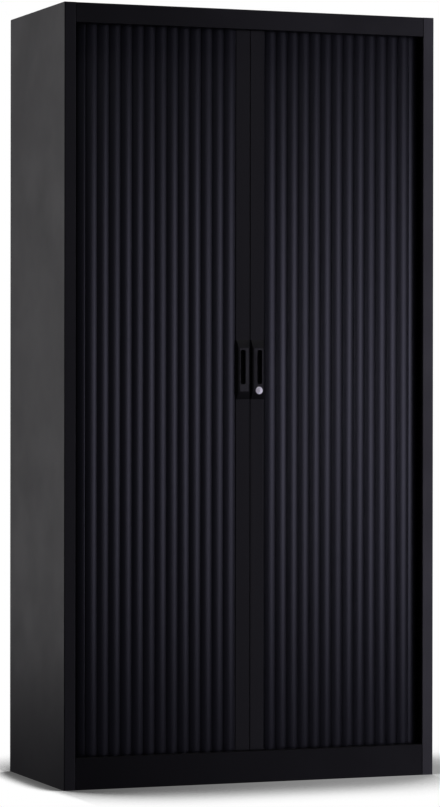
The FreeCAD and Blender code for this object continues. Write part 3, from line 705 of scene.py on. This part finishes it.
def sinkFingerSlot(bm, style):
    lowX, highX = style["slotX"]
    lowZ = handleLow.z + style["slotLow"]
    highZ = handleHigh.z - style["slotTop"]
    wall = style["wall"]
    cutGrid(bm, (lowX - wall, lowX, highX, highX + wall), (lowZ - wall, lowZ, highZ, highZ + wall))
    cup = facesWithin(bm, (lowX - wall, highX + wall), (lowZ - wall, highZ + wall), (0, 1, 0))
    pushFaces(bm, cup, handleHigh.y)
    opening = facesWithin(bm, (lowX, highX), (lowZ, highZ), (0, -1, 0))
    floorVerts = pushFaces(bm, opening, handleHigh.y - wall)
    corners = {
        e for v in floorVerts for e in v.link_edges
        if abs((e.verts[0].co - e.verts[1].co).normalized().y) > style["depthwise"]
    }
    roundOff(bm, list(corners), style["slotCorner"], style["cornerSteps"])


def makeHandle(side, style):
    bm = bmesh.new()
    addHandleBody(bm, style)
    sinkFingerSlot(bm, style)
    softenEdges(bm, style["edgeRound"], style["edgeSteps"], style["sharper"])
    if side == "left":
        mirrorAcross(bm)
    name = side + "HandleMoulding"
    makePiece(bm, name, side + "_door", "handle_plastic", [side + "_handle"], style["smooth"])


for side in ("left", "right"):
    makeHandle(side, handleStyle)
print("handles made")


# Lock: boss on the moulding, turned housing and key barrel

lockStyle = {
    "bossRadius": 0.0105, "faceRadius": 0.0095, "bodyRadius": 0.0080, "barrelRadius": 0.0055,
    "clear": 0.00008, "faceHigh": 0.0015, "edge": 0.0005, "ringDip": 0.0004, "steps": 48,
    "slot": (0.0007, 0.0035), "slotDeep": 0.0040, "keyedEdge": 0.0002, "sharper": 50,
}
lockX, _, lockZ = jointOf["lock_turn"]["pos_m"]
housingLow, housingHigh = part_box("lock_housing")
barrelLow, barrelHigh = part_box("lock_barrel")


def turnLockPart(bm, profile, style):
    points = [(r, y, 0) for r, y in profile]
    turnProfile(bm, points, (lockX, 0, lockZ), (0, 1, 0), style["steps"])


def makeLockBoss(style):
    bm = bmesh.new()
    top = housingLow.y + style["faceHigh"]
    inner = style["bodyRadius"] + style["clear"]
    outer = style["bossRadius"]
    edge = style["edge"]
    turnLockPart(bm, [
        (inner, stileFrontY), (inner, top + edge), (inner + edge, top),
        *roundedCorner(outer, top, 2 * edge, 2 * edge), (outer, stileFrontY),
    ], style)
    makePiece(bm, "lockBoss", "right_door", "handle_plastic")


def makeLockHousing(style):
    bm = bmesh.new()
    front = housingLow.y
    seat = front + style["faceHigh"]
    bore = style["barrelRadius"] + style["clear"]
    edge = style["edge"]
    face = style["faceRadius"]
    ringY = front + style["ringDip"]
    turnLockPart(bm, [
        (bore, housingHigh.y), (bore, front + edge), (bore + 0.5 * edge, ringY), (bore + 2 * edge, ringY),
        (bore + 2.6 * edge, front), *roundedCorner(face, front, 2 * edge, edge), (face, seat),
        (style["bodyRadius"], seat), (style["bodyRadius"], housingHigh.y),
    ], style)
    makePiece(bm, "lockHousingTurned", "right_door", "lock_metal", ["lock_housing"])


def makeLockBarrel(style):
    bm = bmesh.new()
    addDisc(bm, style["barrelRadius"], (lockX, barrelLow.y, lockZ), style["steps"])
    halfX, halfZ = style["slot"]
    spanX = (lockX - halfX, lockX + halfX)
    spanZ = (lockZ - halfZ, lockZ + halfZ)
    cutGrid(bm, spanX, spanZ)
    back = vertsIn(bmesh.ops.extrude_edge_only(bm, edges=openEdges(bm))["geom"])
    bmesh.ops.translate(bm, verts=back, vec=(0, barrelHigh.y - barrelLow.y, 0))
    bmesh.ops.holes_fill(bm, edges=openEdges(bm))
    bmesh.ops.recalc_face_normals(bm, faces=bm.faces)
    pushFaces(bm, facesWithin(bm, spanX, spanZ, (0, -1, 0)), barrelLow.y + style["slotDeep"])
    softenEdges(bm, style["keyedEdge"], sharper=style["sharper"])
    makePiece(bm, "lockBarrelKeyed", "lock_plug", "lock_metal", ["lock_barrel"])


makeLockBoss(lockStyle)
makeLockHousing(lockStyle)
makeLockBarrel(lockStyle)
print("lock made")


# Pan-head screws that hold the back

screwStyle = {
    "headRadius": 0.0038, "headRound": 0.0009, "roundSteps": 3, "shankRadius": 0.0020, "steps": 20,
    "crossHalf": 0.00035, "crossReach": 0.0019, "crossDeep": 0.0009,
    "rows": 8, "turnEachRow": 37.0, "turnAcross": 11.0, "smooth": 25,
}
screwLow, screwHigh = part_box("back_screws")
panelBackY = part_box("back_panel")[1].y


def addScrewHead(bm, style, x, z):
    addDisc(bm, style["headRadius"], (x, panelBackY, z), style["steps"])
    rimVerts = extrudeFaces(bm, list(bm.faces), (0, screwHigh.y - panelBackY, 0), keep=True)
    rim = {e for v in rimVerts for e in v.link_edges if all(w in rimVerts for w in e.verts)}
    roundOff(bm, list(rim), style["headRound"], style["roundSteps"])


def cutCross(bm, style, x, z):
    half = style["crossHalf"]
    reach = style["crossReach"]
    offsets = (-reach, -half, half, reach)
    cutGrid(bm, [x + offset for offset in offsets], [z + offset for offset in offsets])
    cross = set()
    for halfX, halfZ in ((reach, half), (half, reach)):
        cross.update(facesWithin(bm, (x - halfX, x + halfX), (z - halfZ, z + halfZ), (0, 1, 0)))
    pushFaces(bm, list(cross), screwHigh.y - style["crossDeep"])


def makeBackScrews(style):
    x = screwHigh.x - style["headRadius"]
    lowZ = screwLow.z + style["headRadius"]
    step = (screwHigh.z - screwLow.z - 2 * style["headRadius"]) / (style["rows"] - 1)
    one = bmesh.new()
    addScrewHead(one, style, x, lowZ)
    cutCross(one, style, x, lowZ)
    addRod(one, style["shankRadius"], (x, screwLow.y, lowZ), (x, panelBackY, lowZ), style["steps"])
    pattern = bpy.data.meshes.new("screwPattern")
    one.to_mesh(pattern)
    one.free()
    bm = bmesh.new()
    centre = Vector((x, 0, lowZ))
    for row in range(style["rows"]):
        for across in (0, 1):
            before = set(bm.verts)
            bm.from_mesh(pattern)
            added = [v for v in bm.verts if v not in before]
            angle = math.radians(style["turnEachRow"] * row + style["turnAcross"] * across)
            shift = Vector((-2 * x * across, 0, step * row))
            turned = Matrix.Rotation(angle, 4, "Y") @ Matrix.Translation(-centre)
            place = Matrix.Translation(centre + shift) @ turned
            bmesh.ops.transform(bm, matrix=place, verts=added)
    bpy.data.meshes.remove(pattern)
    makePiece(bm, "backScrewsDriven", "carcass", "zinc_steel", ["back_screws"], style["smooth"])


makeBackScrews(screwStyle)
print("screws made")


# Levelling feet: ribbed pads and threaded stems

footStyle = {
    "padRadius": 0.0190, "padHeight": 0.0080, "padRound": 0.0015, "grooveDeep": 0.0010,
    "grooveShares": (0.50, 0.52, 0.68, 0.70), "hubRadius": 0.0080, "hubHeight": 0.0050, "steps": 40,
    "stemRadius": 0.0050, "threadDeep": 0.0006, "threadPitch": 0.0015, "threadFlat": (0.4, 0.6),
    "threadSteps": 14, "coreSteps": 28, "weld": 1e-6,
}
footCount = sum(name.startswith("foot_") for name in nodes)


def footAxis(number):
    low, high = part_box("foot_%d" % number)
    return (low.x + high.x) / 2, (low.y + high.y) / 2


def makeFootPad(number, style):
    node = "foot_%d" % number
    radius = style["padRadius"]
    hub = style["hubRadius"]
    padTop = style["padHeight"]
    hubTop = padTop + style["hubHeight"]
    edge = style["padRound"]
    groove = zip(style["grooveShares"], (0, style["grooveDeep"], style["grooveDeep"], 0))
    profile = [(0, 0)] + [(radius * share, z) for share, z in groove]
    profile += roundedCorner(radius, 0, edge, edge)
    profile += reversed(roundedCorner(radius, padTop, edge, -edge))
    profile += [
        (hub + edge, padTop), (hub, padTop + edge), (hub, hubTop - edge / 3), (hub - edge / 3, hubTop),
        (0, hubTop),
    ]
    points = [(r, 0, z) for r, z in profile]
    bm = bmesh.new()
    turnProfile(bm, points, (*footAxis(number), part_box(node)[0].z), (0, 0, 1), style["steps"], closed=False)
    bmesh.ops.remove_doubles(bm, verts=bm.verts, dist=style["weld"])
    makePiece(bm, "footPad_%d" % number, node, "foot_rubber", [node])


def makeFootStem(number, style):
    node = "foot_%d" % number
    footLow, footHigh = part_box(node)
    start = Vector((*footAxis(number), footLow.z + style["padHeight"] + style["hubHeight"]))
    pitch = style["threadPitch"]
    outer = style["stemRadius"]
    root = outer - style["threadDeep"]
    turns = int((footHigh.z - start.z) / pitch) - 1
    bm = bmesh.new()
    low, high = (pitch * share for share in style["threadFlat"])
    profile = [(root, 0), (outer, low), (outer, high), (root, pitch)]
    verts = [bm.verts.new(start + Vector((r, 0, z))) for r, z in profile]
    edges = [bm.edges.new(pair) for pair in zip(verts, verts[1:])]
    bmesh.ops.spin(
        bm, geom=verts + edges, cent=start, axis=(0, 0, 1), dvec=(0, 0, pitch / style["threadSteps"]),
        angle=2 * math.pi * turns, steps=turns * style["threadSteps"], use_merge=False)
    bmesh.ops.remove_doubles(bm, verts=bm.verts, dist=style["weld"])
    coreLow = (start.x, start.y, start.z - style["hubHeight"] / 2)
    addRod(bm, root, coreLow, (start.x, start.y, footHigh.z), style["coreSteps"])
    makePiece(bm, "footStem_%d" % number, node, "zinc_steel")


for number in range(1, footCount + 1):
    makeFootPad(number, footStyle)
    makeFootStem(number, footStyle)
print("feet made:", footCount)


# Access plugs over the levelling feet

plugStyle = {
    "radius": 0.0085, "holeRadius": 0.0067, "head": 0.0010, "steps": 36,
    "dome": 0.0004, "domeShares": ((0.55, 0.2), (0.85, 1.0)), "rimShare": 0.25, "weld": 1e-6,
}
plugLow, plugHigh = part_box("access_plugs")


def makePlugs(style):
    top = plugHigh.z
    seat = top - style["head"]
    radius = style["radius"]
    hole = style["holeRadius"]
    dome = style["dome"]
    profile = [(0, top)] + [(radius * out, top - dome * down) for out, down in style["domeShares"]]
    profile += [
        (radius, seat + style["head"] * style["rimShare"]), (radius, seat), (hole, seat),
        (hole, plugLow.z + dome), (hole - dome, plugLow.z), (0, plugLow.z),
    ]
    points = [(r, 0, z) for r, z in profile]
    bm = bmesh.new()
    for number in range(1, footCount + 1):
        turnProfile(bm, points, (*footAxis(number), 0), (0, 0, 1), style["steps"], closed=False)
    bmesh.ops.remove_doubles(bm, verts=bm.verts, dist=style["weld"])
    makePiece(bm, "accessPlugCaps", "carcass", "plug_plastic", ["access_plugs"])


makePlugs(plugStyle)
print("plugs made")


# Floor, light and camera

floorStyle = {
    "radius": 30.0, "steps": 96, "shadowReach": 0.50, "samples": 16, "paintedShadow": (0.10, 0.31),
    "contact": 0.69, "clear": 0.925, "covered": (0.10, 0.32), "leftFade": (-0.60, -0.51), "leftLift": 0.42,
    "leftShare": 0.5,
}


def makeFloor(style):
    material = bpy.data.materials.new("paleFloorPaintedShadow")
    material.use_nodes = True
    tree = material.node_tree
    tree.nodes.clear()
    # Painted shadow on a glowing floor: near the cupboard, found by ambient occlusion, the floor darkens to a
    # value that is deepest at the left end and lighter to the right; beyond the left side the shadow is lifted,
    # and where the floor is mostly covered it goes darker still
    reach = {"Distance": style["shadowReach"]}
    openness = addNode(tree, "ShaderNodeAmbientOcclusion", reach, samples=style["samples"]).outputs["AO"]
    across = addNode(tree, "ShaderNodeSeparateXYZ", {0: objectPlace(tree)}).outputs[0]
    lift = remap(tree, across, *style["leftFade"], style["leftLift"], 0.0)
    paintedShadow = remap(tree, across, cadBox[0].x, cadBox[1].x, *style["paintedShadow"])
    paintedShadow = calc(tree, "ADD", paintedShadow, times(tree, lift, style["leftShare"]))
    near = remap(tree, calc(tree, "ADD", openness, lift), style["contact"], style["clear"])
    pale = times(tree, mixValue(tree, near, paintedShadow, 1.0), remap(tree, openness, *style["covered"]))
    pale = mixColour(tree, pale, (0, 0, 0, 1), (1, 1, 1, 1))
    glow = addNode(tree, "ShaderNodeEmission", {"Color": pale, "Strength": 1.0})
    out = tree.nodes.new("ShaderNodeOutputMaterial")
    tree.links.new(glow.outputs[0], out.inputs[0])
    bm = bmesh.new()
    bmesh.ops.create_circle(bm, cap_ends=True, radius=style["radius"], segments=style["steps"])
    mesh = bpy.data.meshes.new("floor")
    bm.to_mesh(mesh)
    bm.free()
    mesh.materials.append(material)
    floor = bpy.data.objects.new("floor", mesh)
    bpy.context.scene.collection.objects.link(floor)
    floor.visible_diffuse = False
    floor.visible_glossy = False
    floor.visible_shadow = False


lightStyle = {
    "key": {
        "at": (2.75, -3.35, 1.0), "aim": (1.0, -0.2, 1.0), "size": (2.0, 4.4), "power": 4.6,
        "tint": (0.95, 0.90, 1.15), "spread": 54.0,
    },
    "fill": {
        "at": (1.5, -3.5, 1.0), "aim": (0.5, -0.2, 1.0), "size": (1.7, 3.6), "power": 1.1,
        "tint": (0.95, 0.90, 1.15), "spread": 70.0,
    },
    "edge": {
        "at": (-0.9, -3.2, 1.0), "aim": (0.40, -0.2, 1.0), "size": (0.5, 3.2), "power": 0.13,
        "tint": (0.95, 0.92, 1.1), "spread": 14.0,
    },
    "left": {
        "at": (-3.2, -1.5, 1.0), "aim": (0.0, -0.2, 1.0), "size": (1.5, 2.6), "power": 3.2,
        "tint": (0.97, 0.94, 1.1), "spread": 180.0,
    },
    "sideSoft": {
        "at": (-2.6, 3.4, 1.5), "aim": (-0.5, 0.0, 1.2), "size": (2.6, 3.3), "power": 15.0,
        "tint": (1.0, 0.98, 1.0), "spread": 180.0,
    },
    "rear": {
        "at": (2.4, 3.6, 2.2), "aim": (0.0, 0.2, 1.0), "size": (2.0, 2.4), "power": 70.0,
        "tint": (1.0, 1.0, 1.0), "spread": 180.0,
    },
    "top": {
        "at": (0.0, 0.2, 4.6), "aim": (0.0, 0.0, 0.0), "size": (2.6, 2.6), "power": 60.0,
        "tint": (1.0, 1.0, 1.0), "spread": 180.0,
    },
}


def makeLight(name, style):
    light = bpy.data.lights.new(name, "AREA")
    light.shape = "RECTANGLE"
    light.size, light.size_y = style["size"]
    light.energy = style["power"]
    light.color = style["tint"]
    light.spread = math.radians(style["spread"])
    lamp = bpy.data.objects.new(name, light)
    bpy.context.scene.collection.objects.link(lamp)
    lamp.location = style["at"]
    lamp.rotation_euler = (Vector(style["aim"]) - Vector(style["at"])).to_track_quat("-Z", "Y").to_euler()
    lamp.visible_camera = False


worldStyle = {"seen": (1, 1, 1, 1), "ambient": (0.028, 0.027, 0.034, 1)}


def makeWorld(style):
    world = bpy.data.worlds.new("studio")
    world.use_nodes = True
    tree = world.node_tree
    tree.nodes.clear()
    seen = addNode(tree, "ShaderNodeBackground", {"Color": style["seen"]})
    ambient = addNode(tree, "ShaderNodeBackground", {"Color": style["ambient"]})
    direct = tree.nodes.new("ShaderNodeLightPath").outputs["Is Camera Ray"]
    both = tree.nodes.new("ShaderNodeMixShader")
    for place, value in enumerate((direct, ambient.outputs[0], seen.outputs[0])):
        tree.links.new(value, both.inputs[place])
    out = tree.nodes.new("ShaderNodeOutputWorld")
    tree.links.new(both.outputs[0], out.inputs[0])
    bpy.context.scene.world = world


cameraStyle = {
    "at": (-3.0477, -7.9625, 1.0011), "yaw": 20.93, "pitch": -0.303, "roll": 0.07,
    "lens": 147.0, "sensor": 36.0,
}


def makeCamera(style):
    yaw = math.radians(style["yaw"])
    pitch = math.radians(style["pitch"])
    forward = Vector((math.sin(yaw) * math.cos(pitch), math.cos(yaw) * math.cos(pitch), math.sin(pitch)))
    turn = forward.to_track_quat("-Z", "Y").to_matrix() @ Matrix.Rotation(math.radians(style["roll"]), 3, "Z")
    data = bpy.data.cameras.new("camera")
    data.lens = style["lens"]
    data.sensor_width = style["sensor"]
    camera = bpy.data.objects.new("camera", data)
    bpy.context.scene.collection.objects.link(camera)
    camera.location = style["at"]
    camera.rotation_euler = turn.to_euler()
    bpy.context.scene.camera = camera


makeFloor(floorStyle)
for name, style in lightStyle.items():
    makeLight(name, style)
makeWorld(worldStyle)
makeCamera(cameraStyle)
bpy.context.scene.view_settings.view_transform = "Standard"
print("stage, lights and camera made")
